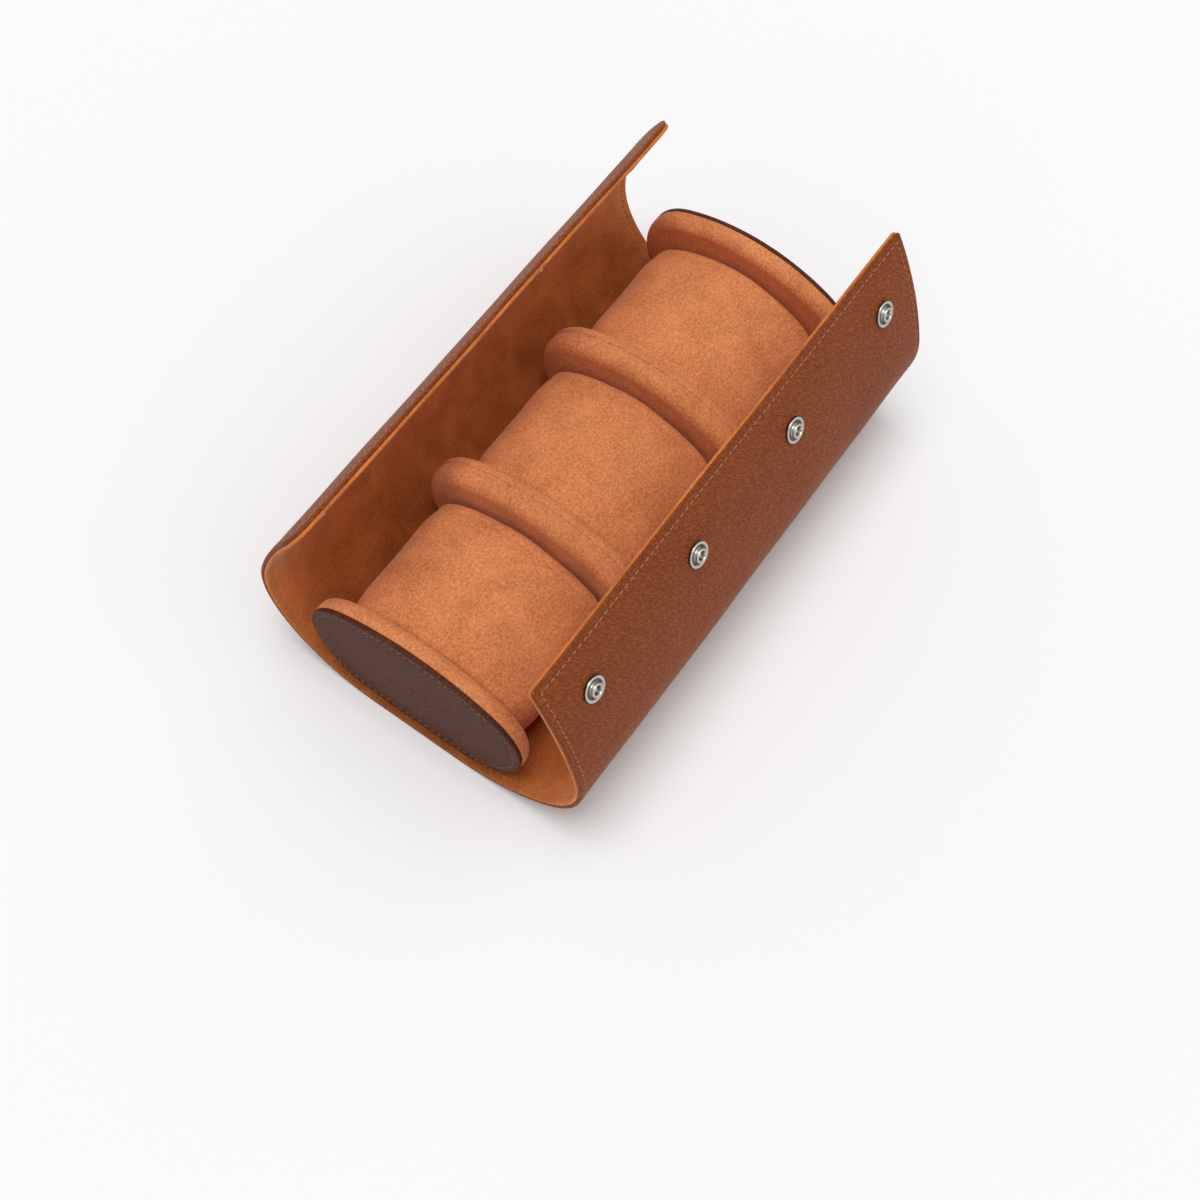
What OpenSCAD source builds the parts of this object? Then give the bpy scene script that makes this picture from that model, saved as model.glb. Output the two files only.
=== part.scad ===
// Watch roll: a boarded leather wrap, lined with suede, that carries two end panels, two dividers
// and three lift-out pillows. X runs along the roll, the front flap with the studs is at -Y,
// and the origin is the centre of the flat bottom.

/* [Wrap] */
// Length of the wrap along the roll
wrap_l = 245; // [190:1:360]
// Thickness of the wrap, leather to lining
wrap_t = 3; // [2.6:0.1:5]
// Thickness of the boards between leather and lining
board_t = 1; // [0.6:0.1:1.6]
// Width of the sewn rim, which has no board in it
rim_w = 4; // [2:0.5:10]
// Width of the band without board across each fold line
fold_w = 5; // [2:0.5:10]
// Gap between two sections of the wrap at a fold line
fold_gap = 0.3; // [0.1:0.05:1]
// Air between two layers of the wrap
layer_gap = 0.05; // [0.02:0.01:0.1]

/* [Front flap] */
// Length of the low curve, measured on the lining
front_low_l = 53; // [45:0.5:65]
// Turn of the low curve in degrees
front_low_turn = 47.5; // [40:0.5:55]
// Length of the side curve
front_side_l = 41.5; // [35:0.5:55]
// Turn of the side curve in degrees
front_side_turn = 57.5; // [45:0.5:65]
// Length of the top curve, up to the free edge
front_top_l = 58; // [40:0.5:75]
// Turn of the top curve in degrees
front_top_turn = 17; // [8:1:25]
// Path along the lining from the middle of the bottom to the low fold line
front_fold_low = 36.5; // [30:0.5:48]
// Path along the lining to the middle fold line
front_fold_mid = 70.5; // [60:0.5:85]
// Path along the lining to the high fold line
front_fold_high = 121; // [105:0.5:125]
// Radius of the corners at the free edge
front_corner_r = 2; // [1:0.5:12]

/* [Back flap] */
// Length of the low curve, measured on the lining
back_low_l = 58; // [50:0.5:70]
// Turn of the low curve in degrees
back_low_turn = 66; // [60:1:80]
// Length of the side curve
back_side_l = 29; // [22:0.5:40]
// Turn of the side curve in degrees
back_side_turn = 37.5; // [20:0.5:40]
// Length of the top curve, up to the free edge
back_top_l = 48.5; // [42:0.5:65]
// Turn of the top curve in degrees
back_top_turn = 19.5; // [8:0.5:25]
// Path along the lining from the middle of the bottom to the low fold line
back_fold_low = 40.5; // [30:0.5:56]
// Path along the lining to the middle fold line
back_fold_mid = 74.5; // [66:0.5:90]
// Path along the lining to the high fold line
back_fold_high = 120.5; // [105:0.5:124]
// Radius of the corners at the free edge
back_corner_r = 10; // [1:0.5:16]

/* [End panels and dividers] */
// Width of the end panels and dividers
panel_w = 103; // [90:0.5:110]
// Height of the end panels and dividers
panel_h = 65; // [55:0.5:75]
// Radius of their lower side curves
panel_low_r = 32.5; // [24:0.5:32.5]
// Radius of their upper side curves
panel_high_r = 27; // [18:0.5:27]
// Thickness of an end panel, with its leather face
panel_t = 9; // [8:0.5:16]
// Distance from the end of the wrap to an end panel
panel_inset = 2.25; // [1:0.25:8]
// Thickness of the leather face on an end panel
face_t = 1.2; // [0.8:0.1:2]
// Distance from the outline of an end panel to the edge of its leather face
face_inset = 1.6; // [1:0.1:3]
// Thickness of a divider at its middle
divider_t = 13; // [9:0.5:18]
// Thickness of the boards inside the end panels and dividers
core_t = 2; // [1:0.25:3]
// Distance from their outline to the edge of that board
core_inset = 7; // [5:0.5:12]

/* [Pillows] */
// Width of a pillow across the roll
pillow_w = 85; // [74:0.5:88]
// Height of a pillow
pillow_h = 55.5; // [46:0.1:60]
// Radius of the lower side curves of a pillow
pillow_low_r = 24; // [16:0.5:26]
// Radius of the upper side curves of a pillow
pillow_high_r = 21; // [14:0.5:22]
// Play between a pillow and the divider or end panel beside it
pillow_play = 0.8; // [0.8:0.1:4]
// Distance from the end of a pillow to its seam
pillow_seam = 6; // [4:0.5:10]
// Thickness of the cover and wadding round the foam of a pillow
pillow_skin = 5; // [3:0.5:8]

/* [Padding] */
// Depth of the sewn channels
channel_d = 0.6; // [0.3:0.1:1]
// Width of the sewn channels
channel_w = 1.8; // [1:0.2:3]
// Gap under what stands on the lining
seat_gap = 0.3; // [0.1:0.05:0.6]

/* [Snaps] */
// Diameter of a snap
snap_d = 11; // [9:0.5:13]
// Distance between two snaps
snap_pitch = 66.7; // [40:0.1:72]
// Distance from the front free edge to the row of studs
stud_edge = 23.5; // [14:0.5:32]
// Height of a stud above the leather
stud_h = 2.6; // [2.2:0.1:4]
// Distance from the back free edge to the row of sockets
socket_edge = 15; // [13:0.5:26]
// Height of a socket above the lining
socket_h = 2.2; // [1.8:0.1:3]
// Diameter of the post that holds a snap
post_d = 3; // [2:0.1:3.6]
// Diameter of the foot of that post
foot_d = 8; // [6:0.5:9]
// Clearance round the posts and their feet
post_fit = 0.1; // [0.05:0.05:0.3]

/* [Hidden] */
$fn = 96;

tan_leather = [0.62, 0.36, 0.24];
dark_leather = [0.34, 0.22, 0.15];
orange_suede = [0.78, 0.45, 0.24];
grey_board = [0.62, 0.58, 0.52];
pale_foam = [0.92, 0.88, 0.74];
nickel = [0.75, 0.75, 0.73];

snap_count = 4;
// Small distance that a cut reaches past the surface it starts from
past = 1;

// The wrap in section: flat under the panels, then three curves up each side, as [length, turn]
flat_half = panel_w / 2 - panel_low_r + 0.5;
front_path = [[flat_half, 0], [front_low_l, front_low_turn], [front_side_l, front_side_turn],
    [front_top_l, front_top_turn]];
back_path = [[flat_half, 0], [back_low_l, back_low_turn], [back_side_l, back_side_turn],
    [back_top_l, back_top_turn]];
front_end = path_to(front_path, len(front_path));
back_end = path_to(back_path, len(back_path));

// Depths are measured outward from the lining: the lining and the leather meet at mid_d, and the
// board lies half in each
mid_d = wrap_t / 2;
board_in = mid_d - board_t / 2;
board_out = mid_d + board_t / 2;

// Places along the roll
panel_out_x = wrap_l / 2 - panel_inset;
panel_in_x = panel_out_x - panel_t;
slot_l = (2 * panel_in_x - 2 * divider_t) / 3;
slot_pitch = slot_l + divider_t;
pillow_l = slot_l - 2 * pillow_play;
pad_t = panel_t - face_t - layer_gap;

// Section curve of the wrap

function path_to(path, n) = n == 0 ? 0 : path_to(path, n - 1) + path[n - 1][0];
function turn_to(path, n) = n == 0 ? 0 : turn_to(path, n - 1) + path[n - 1][1];
function bend_r(piece) = piece[0] * 180 / (PI * piece[1]);
function step_on(p, a, l, t) = t == 0
    ? p + l * [cos(a), sin(a)]
    : p + bend_r([l, t]) * [sin(a + t) - sin(a), cos(a) - cos(a + t)];
function joint_at(path, n) = n == 0
    ? [0, wrap_t]
    : step_on(joint_at(path, n - 1), turn_to(path, n - 1), path[n - 1][0], path[n - 1][1]);
function piece_at(path, s, n = 0) = n == len(path) - 1 || s < path_to(path, n + 1)
    ? n : piece_at(path, s, n + 1);
function share_at(path, s) = let (n = piece_at(path, s)) (s - path_to(path, n)) / path[n][0];
function turn_at(path, s) = let (n = piece_at(path, s)) turn_to(path, n) + share_at(path, s) * path[n][1];
function point_at(path, s) = let (n = piece_at(path, s), f = share_at(path, s))
    step_on(joint_at(path, n), turn_to(path, n), f * path[n][0], f * path[n][1]);

function place_at(path, s, d) = let (a = turn_at(path, s)) point_at(path, s) + d * [sin(a), -cos(a)];

// Path lengths from s0 to s1, with one at the least every curve_step degrees of turn
curve_step = 3;
function steps(piece) = max(1, ceil(piece[1] / curve_step));
function stations(path, s0, s1) = concat([s0],
    [for (n = [0:len(path) - 1], i = [0:steps(path[n]) - 1])
        let (s = path_to(path, n) + path[n][0] * i / steps(path[n]))
            if (s > s0 + 0.01 && s < s1 - 0.01) s],
    [s1]);
function back_to_front(v) = [for (i = [len(v) - 1:-1:0]) v[i]];

// A layer of the wrap, l wide, between path lengths s0 and s1 and depths d0 and d1
module strip(path, s0, s1, d0, d1, l) {
    way = stations(path, s0, s1);
    rotate([90, 0, 90])
        translate([0, 0, -l / 2])
            linear_extrude(l)
                polygon(concat([for (s = way) place_at(path, s, d1)],
                    [for (s = back_to_front(way)) place_at(path, s, d0)]));
}

// Stands its children on the wrap at path length s and depth d, with their Z pointing outward
module on_path(path, s, d) {
    p = place_at(path, s, d);
    translate([0, p[0], p[1]])
        rotate([turn_at(path, s) + 180, 0, 0])
            children();
}

// What the round corners at a free edge leave off
module corner_cuts(path, end, r) {
    x = wrap_l / 2;
    cut = concat(arc_points([x - r, r], r, -90, 0, 8),
        [[x + past, r], [x + past, -past], [x - r, -past]]);
    on_path(path, end, mid_d)
        for (side = [-1, 1])
            scale([side, 1, 1])
                translate([0, 0, -2 * wrap_t])
                    linear_extrude(4 * wrap_t)
                        polygon(cut);
}

// Places its children at every snap in a row, at path length s and depth d
module snap_row(path, s, d) {
    on_path(path, s, d)
        for (i = [0:snap_count - 1])
            translate([(i - (snap_count - 1) / 2) * snap_pitch, 0, 0])
                children();
}

// Layers of one section of the wrap, from s0 to s1; the free edge has a sewn rim, a fold has none

module leather_layer(path, s0, s1, rim) {
    difference() {
        strip(path, s0, s1, mid_d + layer_gap / 2, wrap_t, wrap_l);
        board_room(path, s0, s1, rim, layer_gap);
    }
}

module lining_layer(path, s0, s1, rim) {
    difference() {
        strip(path, s0, s1, 0, mid_d - layer_gap / 2, wrap_l);
        board_room(path, s0, s1, rim, layer_gap);
    }
}

module board_room(path, s0, s1, rim, air) {
    strip(path, s0 == 0 ? 0 : s0 + fold_w / 2 - air, s1 - rim + air,
        board_in - air, board_out + air, wrap_l - 2 * rim_w + 2 * air);
}

module front_half() {
    mirror([0, 1, 0])
        children();
}

// Wrap base: the bottom and the first rise on both sides

module base_leather() {
    color(tan_leather)
        union() {
            leather_layer(back_path, 0, back_fold_low - fold_gap / 2, fold_w / 2);
            front_half()
                leather_layer(front_path, 0, front_fold_low - fold_gap / 2, fold_w / 2);
        }
}

module base_board() {
    color(grey_board)
        union() {
            board_room(back_path, 0, back_fold_low - fold_gap / 2, fold_w / 2, 0);
            front_half()
                board_room(front_path, 0, front_fold_low - fold_gap / 2, fold_w / 2, 0);
        }
}

module base_lining() {
    color(orange_suede)
        union() {
            lining_layer(back_path, 0, back_fold_low - fold_gap / 2, fold_w / 2);
            front_half()
                lining_layer(front_path, 0, front_fold_low - fold_gap / 2, fold_w / 2);
        }
}

// Side and shoulder sections, each between two fold lines

module section_leather(path, low, high) {
    color(tan_leather)
        leather_layer(path, low + fold_gap / 2, high - fold_gap / 2, fold_w / 2);
}

module section_board(path, low, high) {
    color(grey_board)
        board_room(path, low + fold_gap / 2, high - fold_gap / 2, fold_w / 2, 0);
}

module section_lining(path, low, high) {
    color(orange_suede)
        lining_layer(path, low + fold_gap / 2, high - fold_gap / 2, fold_w / 2);
}

// Flap sections, from the high fold line to the free edge. The studs sit on the leather of the
// front flap and the sockets on the lining of the back flap, each held by a post whose foot lies
// in the board behind that layer.

module post_holes(path, s, d, out) {
    snap_row(path, s, d)
        scale([1, 1, out])
            translate([0, 0, -post_fit])
                cylinder(d = post_d + 2 * post_fit, h = wrap_t);
}

module foot_holes(path, s, d, out) {
    snap_row(path, s, d)
        scale([1, 1, out])
            translate([0, 0, -foot_t - post_fit])
                cylinder(d = foot_d + 2 * post_fit, h = foot_t + post_fit + past);
}

foot_t = board_t / 2;

module front_flap_leather() {
    color(tan_leather)
        front_half()
            difference() {
                leather_layer(front_path, front_fold_high + fold_gap / 2, front_end, rim_w);
                corner_cuts(front_path, front_end, front_corner_r);
                post_holes(front_path, front_end - stud_edge, board_out, 1);
            }
}

module front_flap_board() {
    color(grey_board)
        front_half()
            difference() {
                board_room(front_path, front_fold_high + fold_gap / 2, front_end, rim_w, 0);
                foot_holes(front_path, front_end - stud_edge, board_out, 1);
            }
}

module front_flap_lining() {
    color(orange_suede)
        front_half()
            difference() {
                lining_layer(front_path, front_fold_high + fold_gap / 2, front_end, rim_w);
                corner_cuts(front_path, front_end, front_corner_r);
            }
}

module back_flap_leather() {
    color(tan_leather)
        difference() {
            leather_layer(back_path, back_fold_high + fold_gap / 2, back_end, rim_w);
            corner_cuts(back_path, back_end, back_corner_r);
        }
}

module back_flap_board() {
    color(grey_board)
        difference() {
            board_room(back_path, back_fold_high + fold_gap / 2, back_end, rim_w, 0);
            foot_holes(back_path, back_end - socket_edge, board_in, -1);
        }
}

module back_flap_lining() {
    color(orange_suede)
        difference() {
            lining_layer(back_path, back_fold_high + fold_gap / 2, back_end, rim_w);
            corner_cuts(back_path, back_end, back_corner_r);
            post_holes(back_path, back_end - socket_edge, board_in, -1);
        }
}

// Snaps

// Room between a snap and the leather it sits on; the lining curves up towards a socket's edge
stud_seat = 0.05;
socket_seat = stud_seat + pow(snap_d / 2, 2) / (2 * bend_r(back_path[3]));
plate_t = 0.6;
rim_h = 0.9;
boss_r = snap_d * 0.28;

module stud() {
    difference() {
        rotate_extrude()
            polygon([[0, 0], [snap_d / 2 - 0.3, 0], [snap_d / 2, 0.3], [snap_d / 2, rim_h - 0.3],
                [snap_d / 2 - 0.3, rim_h], [snap_d / 2 - 0.7, rim_h], [snap_d / 2 - 1.1, plate_t],
                [boss_r + 0.4, plate_t], [boss_r, plate_t + 0.4], [boss_r - 0.1, stud_h - 0.4],
                [boss_r - 0.5, stud_h], [0, stud_h]]);
        translate([0, 0, plate_t])
            cylinder(r = boss_r - 0.8, h = stud_h);
        translate([0, 0, -past])
            cylinder(d = post_d + 2 * post_fit, h = stud_h);
    }
}

module socket() {
    difference() {
        rotate_extrude()
            polygon([[0, 0], [snap_d / 2 - 0.3, 0], [snap_d / 2, 0.3], [snap_d / 2, socket_h - 0.5],
                [snap_d / 2 - 0.5, socket_h], [0, socket_h]]);
        translate([0, 0, plate_t])
            cylinder(r = boss_r + 0.3, h = socket_h);
        translate([0, 0, -past])
            cylinder(d = post_d + 2 * post_fit, h = socket_h);
    }
}

// Post of a snap: a foot in the board, a shank through the layer and a head in the plate
module snap_post(seat) {
    translate([0, 0, -foot_t])
        cylinder(d = foot_d, h = foot_t - layer_gap);
    translate([0, 0, -foot_t])
        cylinder(d = post_d, h = foot_t + wrap_t - board_out + seat + plate_t + 0.5);
}

module snap_studs() {
    color(nickel)
        front_half()
            snap_row(front_path, front_end - stud_edge, wrap_t + stud_seat)
                stud();
}

module stud_posts() {
    color(nickel)
        front_half()
            snap_row(front_path, front_end - stud_edge, board_out)
                snap_post(stud_seat);
}

module snap_sockets() {
    color(nickel)
        snap_row(back_path, back_end - socket_edge, -socket_seat)
            scale([1, 1, -1])
                socket();
}

module socket_posts() {
    color(nickel)
        snap_row(back_path, back_end - socket_edge, board_in)
            scale([1, 1, -1])
                snap_post(socket_seat);
}

// Outline of an upright cushion: a flat bottom, low side curves, high side curves and a top curve.
// size is [half width, height, low radius, high radius] and z0 is the height of the flat bottom;
// inset draws the outline in.

function arc_points(c, r, a0, a1, n) = [for (i = [0:n]) c + r * [cos(a0 + (a1 - a0) * i / n),
    sin(a0 + (a1 - a0) * i / n)]];
function top_drop(size) = (pow(size[0] - size[3], 2) - pow(size[1] / 2 - size[3], 2))
    / (size[1] - 2 * size[3]);
function half_outline(size, z0, inset) = let (
        mid_z = z0 + size[1] / 2,
        drop = top_drop(size),
        lean = atan2(size[0] - size[3], drop))
    concat(
        arc_points([size[0] - size[2], z0 + size[2]], size[2] - inset, -90, 0, 8),
        arc_points([size[0] - size[3], mid_z], size[3] - inset, 0, 90 - lean, 6),
        arc_points([0, mid_z - drop], size[1] / 2 + drop - inset, 90 - lean, 90, 6));
function no_twins(pts) = [for (i = [0:len(pts) - 1])
    if (i == 0 || norm(pts[i] - pts[i - 1]) > 0.001) pts[i]];
function outline(size, z0, inset) = let (half = no_twins(half_outline(size, z0, inset)))
    concat(half, [for (i = [len(half) - 2:-1:0]) [-half[i][0], half[i][1]]]);

// Closed cushion solid. rings is a list of [x, inset, share]: share draws the outline towards the
// middle, and a share of 0 is the point that closes an end.
module cushion(size, z0, rings) {
    m = len(outline(size, z0, 0));
    k = len(rings);
    mid = [0, z0 + size[1] / 2];
    pts = concat(
        [[rings[0][0], mid[0], mid[1]]],
        [for (j = [1:k - 2], q = outline(size, z0, rings[j][1]))
            let (p = mid + rings[j][2] * (q - mid)) [rings[j][0], p[0], p[1]]],
        [[rings[k - 1][0], mid[0], mid[1]]]);
    last = len(pts) - 1;
    faces = concat(
        [for (i = [0:m - 1]) [0, 1 + (i + 1) % m, 1 + i]],
        [for (j = [0:k - 4], i = [0:m - 1]) [1 + j * m + i, 1 + j * m + (i + 1) % m, 1 + (j + 1) * m + i]],
        [for (j = [0:k - 4], i = [0:m - 1])
            [1 + j * m + (i + 1) % m, 1 + (j + 1) * m + (i + 1) % m, 1 + (j + 1) * m + i]],
        [for (i = [0:m - 1]) [last, last - m + i, last - m + (i + 1) % m]]);
    polyhedron(pts, [for (f = faces) [f[0], f[2], f[1]]]);
}

function flip(rings) = [for (i = [len(rings) - 1:-1:0]) [-rings[i][0], rings[i][1], rings[i][2]]];

// A flat plate with that outline between x0 and x1
module plate(size, z0, inset, x0, x1) {
    rotate([90, 0, 90])
        translate([0, 0, x0])
            linear_extrude(x1 - x0)
                polygon(outline(size, z0, inset));
}

// End panels and dividers stand on the lining

panel_size = [panel_w / 2, panel_h, panel_low_r, panel_high_r];
panel_z = wrap_t + layer_gap;

// Half of the band of a cushion, from its seam at x = 0 out to the face at half thickness t
function band(t) = [[0, channel_d, 1], [channel_w / 2, 0, 1], [t - 2.4, 0.3, 1], [t - 1.2, 1.1, 1],
    [t - 0.6, 2.2, 1], [t - 0.25, 4, 0.9], [t - 0.05, 6, 0.55], [t, 6, 0]];
function without_first(v) = [for (i = [1:len(v) - 1]) v[i]];

module panel_pad(side) {
    out_x = panel_out_x - face_t - layer_gap;
    seam_x = out_x - pad_t / 2;
    outer = [[0.5 * channel_w, 0, 1], [pad_t / 2 - 1.4, 0.2, 1], [pad_t / 2 - 0.5, face_inset / 2, 1],
        [pad_t / 2, face_inset, 1], [pad_t / 2, 0, 0]];
    color(orange_suede)
        scale([side, 1, 1])
            difference() {
                translate([seam_x, 0, 0])
                    cushion(panel_size, panel_z, concat(flip(band(pad_t / 2)), outer));
                plate(panel_size, panel_z, core_inset - layer_gap, out_x - core_t - 2 * layer_gap,
                    out_x + past);
            }
}

module panel_core(side) {
    out_x = panel_out_x - face_t - layer_gap;
    color(grey_board)
        scale([side, 1, 1])
            plate(panel_size, panel_z, core_inset, out_x - core_t - layer_gap, out_x);
}

module panel_face(side) {
    color(dark_leather)
        scale([side, 1, 1])
            plate(panel_size, panel_z, face_inset, panel_out_x - face_t, panel_out_x);
}

module divider_cover(side) {
    rings = concat(flip(band(divider_t / 2)), without_first(band(divider_t / 2)));
    color(orange_suede)
        translate([side * slot_pitch / 2, 0, 0])
            difference() {
                cushion(panel_size, panel_z, rings);
                plate(panel_size, panel_z, core_inset - layer_gap, -core_t / 2 - layer_gap,
                    core_t / 2 + layer_gap);
            }
}

module divider_core(side) {
    color(grey_board)
        translate([side * slot_pitch / 2, 0, 0])
            plate(panel_size, panel_z, core_inset, -core_t / 2, core_t / 2);
}

// Pillows stand in the slots and lift out

pillow_size = [pillow_w / 2, pillow_h, pillow_low_r, pillow_high_r];
pillow_z = wrap_t + seat_gap;

function pillow_half() = let (t = pillow_l / 2) [[0, 0, 1], [t / 2, 0, 1],
    [t - pillow_seam - channel_w / 2, 0.3, 1], [t - pillow_seam, 0.3 + channel_d, 1],
    [t - pillow_seam + channel_w / 2, 0.4, 1], [t - 3, 0.9, 1], [t - 1.5, 2.2, 1],
    [t - 0.6, 4.5, 1], [t - 0.1, 6, 0.6], [t, 6, 0]];

module pillow_cover(place) {
    color(orange_suede)
        translate([place * slot_pitch, 0, 0])
            difference() {
                cushion(pillow_size, pillow_z,
                    concat(flip(pillow_half()), without_first(pillow_half())));
                plate(pillow_size, pillow_z, pillow_skin - layer_gap,
                    -pillow_l / 2 + pillow_skin - layer_gap, pillow_l / 2 - pillow_skin + layer_gap);
            }
}

module pillow_core(place) {
    color(pale_foam)
        translate([place * slot_pitch, 0, 0])
            plate(pillow_size, pillow_z, pillow_skin, -pillow_l / 2 + pillow_skin,
                pillow_l / 2 - pillow_skin);
}

base_leather();
base_board();
base_lining();
panel_face(-1);  // near_panel_face
panel_core(-1);  // near_panel_core
panel_pad(-1);  // near_panel_pad
panel_face(1);  // far_panel_face
panel_core(1);  // far_panel_core
panel_pad(1);  // far_panel_pad
divider_core(-1);  // divider_1_core
divider_cover(-1);  // divider_1_cover
divider_core(1);  // divider_2_core
divider_cover(1);  // divider_2_cover
front_half() section_leather(front_path, front_fold_low, front_fold_mid);  // front_side_leather
front_half() section_board(front_path, front_fold_low, front_fold_mid);  // front_side_board
front_half() section_lining(front_path, front_fold_low, front_fold_mid);  // front_side_lining
front_half() section_leather(front_path, front_fold_mid, front_fold_high);  // front_shoulder_leather
front_half() section_board(front_path, front_fold_mid, front_fold_high);  // front_shoulder_board
front_half() section_lining(front_path, front_fold_mid, front_fold_high);  // front_shoulder_lining
front_flap_leather();
front_flap_board();
front_flap_lining();
snap_studs();
stud_posts();
section_leather(back_path, back_fold_low, back_fold_mid);  // back_side_leather
section_board(back_path, back_fold_low, back_fold_mid);  // back_side_board
section_lining(back_path, back_fold_low, back_fold_mid);  // back_side_lining
section_leather(back_path, back_fold_mid, back_fold_high);  // back_shoulder_leather
section_board(back_path, back_fold_mid, back_fold_high);  // back_shoulder_board
section_lining(back_path, back_fold_mid, back_fold_high);  // back_shoulder_lining
back_flap_leather();
back_flap_board();
back_flap_lining();
snap_sockets();
socket_posts();
pillow_cover(-1);  // pillow_1_cover
pillow_core(-1);  // pillow_1_core
pillow_cover(0);  // pillow_2_cover
pillow_core(0);  // pillow_2_core
pillow_cover(1);  // pillow_3_cover
pillow_core(1);  // pillow_3_core
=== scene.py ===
# Watch roll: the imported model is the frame, and the pieces below dress it. Lengths are in
# millimetres until put_mesh writes them, x runs along the roll and the studs are at -y.
import math

import bpy
import numpy as np
from mathutils import Matrix, Vector


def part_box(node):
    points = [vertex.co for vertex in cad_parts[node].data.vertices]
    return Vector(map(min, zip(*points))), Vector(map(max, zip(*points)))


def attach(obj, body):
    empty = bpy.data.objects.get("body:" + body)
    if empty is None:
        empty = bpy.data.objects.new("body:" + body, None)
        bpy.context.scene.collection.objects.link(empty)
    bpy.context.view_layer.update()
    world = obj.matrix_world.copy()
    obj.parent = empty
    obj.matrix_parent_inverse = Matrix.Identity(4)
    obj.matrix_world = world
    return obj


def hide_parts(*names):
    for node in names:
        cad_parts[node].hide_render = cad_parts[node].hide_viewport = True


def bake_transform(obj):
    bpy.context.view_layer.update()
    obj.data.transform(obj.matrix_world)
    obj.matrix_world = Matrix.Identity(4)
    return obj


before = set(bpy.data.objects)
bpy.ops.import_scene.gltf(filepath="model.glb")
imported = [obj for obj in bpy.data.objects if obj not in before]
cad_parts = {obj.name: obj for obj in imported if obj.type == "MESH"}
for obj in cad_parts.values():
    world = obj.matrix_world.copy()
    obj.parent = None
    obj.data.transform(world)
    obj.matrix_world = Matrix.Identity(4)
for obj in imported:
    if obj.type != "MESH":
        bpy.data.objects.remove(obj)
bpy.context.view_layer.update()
scene = bpy.context.scene
scene.view_settings.view_transform = "Standard"


# Camera: it looks down on the roll from its near end, as the photograph does. Its place is the
# roll's origin seen from the camera, in millimetres right, down and ahead.
FOCAL_PX = 1830.4
FRAME_PX = 1200
SENSOR = 36.0
VIEW_AZIMUTH, VIEW_ELEVATION, VIEW_ROLL = -62.0, 64.572, 7.901
ORIGIN_SEEN = np.array([-5.213, -36.49, 789.133])
FARTHEST_M = 10

azimuth, elevation, roll = np.radians([VIEW_AZIMUTH, VIEW_ELEVATION, VIEW_ROLL])
back = np.array([math.sin(azimuth) * math.cos(elevation),
                 -math.cos(azimuth) * math.cos(elevation),
                 math.sin(elevation)])
right = np.array([math.cos(azimuth), math.sin(azimuth), 0.0])
up = np.cross(back, right)
right, up = (math.cos(roll) * right + math.sin(roll) * up,
             math.cos(roll) * up - math.sin(roll) * right)
place = -(right * ORIGIN_SEEN[0] - up * ORIGIN_SEEN[1] - back * ORIGIN_SEEN[2])
camera = bpy.data.objects.new("camera", bpy.data.cameras.new("camera"))
camera.data.sensor_width = SENSOR
camera.data.lens = FOCAL_PX * SENSOR / FRAME_PX
camera.data.clip_end = FARTHEST_M
camera.matrix_world = Matrix.Translation(place / 1000) @ Matrix(
    np.stack([right, up, back], axis=1).tolist()).to_4x4()
scene.collection.objects.link(camera)
scene.camera = camera


# Studio: a pale floor, a pale world and two broad suns, a strong one almost overhead from the left
# of the view and a weak one from its right. The camera and the metal see the world in the floor's
# own shade, so no horizon shows. The floor's size and drop are in metres.
FLOOR_SIZE = 8.0
FLOOR_DROP = 0.0002
PAPER = (0.955, 0.957, 0.96, 1)
WORLD_LIGHT = 0.40
KEY = dict(turn=150, height=82, softness=36, power=1.60)
FILL = dict(turn=-60, height=62, softness=60, power=0.36)


def node_tree(owner):
    """Empties a material's or world's tree and returns it with a helper that adds a node."""
    owner.use_nodes = True
    tree = owner.node_tree
    tree.nodes.clear()

    def add(kind, inputs=(), **settings):
        made = tree.nodes.new(kind)
        for key, value in settings.items():
            setattr(made, key, value)
        for key, value in dict(inputs).items():
            if isinstance(value, bpy.types.NodeSocket):
                tree.links.new(value, made.inputs[key])
            else:
                made.inputs[key].default_value = value
        return made

    return tree, add


world = bpy.data.worlds.new("studio")
scene.world = world
tree, add = node_tree(world)
seen = add("ShaderNodeLightPath")
lit = add("ShaderNodeBackground", {"Color": (1, 1, 1, 1), "Strength": WORLD_LIGHT})
shown = add("ShaderNodeBackground", {"Color": PAPER, "Strength": 1.0})
either = add("ShaderNodeMath", {0: seen.outputs["Is Camera Ray"], 1: seen.outputs["Is Glossy Ray"]},
             operation="MAXIMUM")
mixed = add("ShaderNodeMixShader", {0: either.outputs[0], 1: lit.outputs[0], 2: shown.outputs[0]})
add("ShaderNodeOutputWorld", {"Surface": mixed.outputs[0]})

floor_mesh = bpy.data.meshes.new("floor")
half = FLOOR_SIZE / 2
floor_mesh.from_pydata([(-half, -half, 0), (half, -half, 0), (half, half, 0), (-half, half, 0)],
                       [], [(0, 1, 2, 3)])
floor = bpy.data.objects.new("floor", floor_mesh)
floor.location.z = -FLOOR_DROP
scene.collection.objects.link(floor)
floor_material = bpy.data.materials.new("floor")
tree, add = node_tree(floor_material)
paper = add("ShaderNodeBsdfDiffuse", {"Color": PAPER})
add("ShaderNodeOutputMaterial", {"Surface": paper.outputs[0]})
floor_mesh.materials.append(floor_material)


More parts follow.
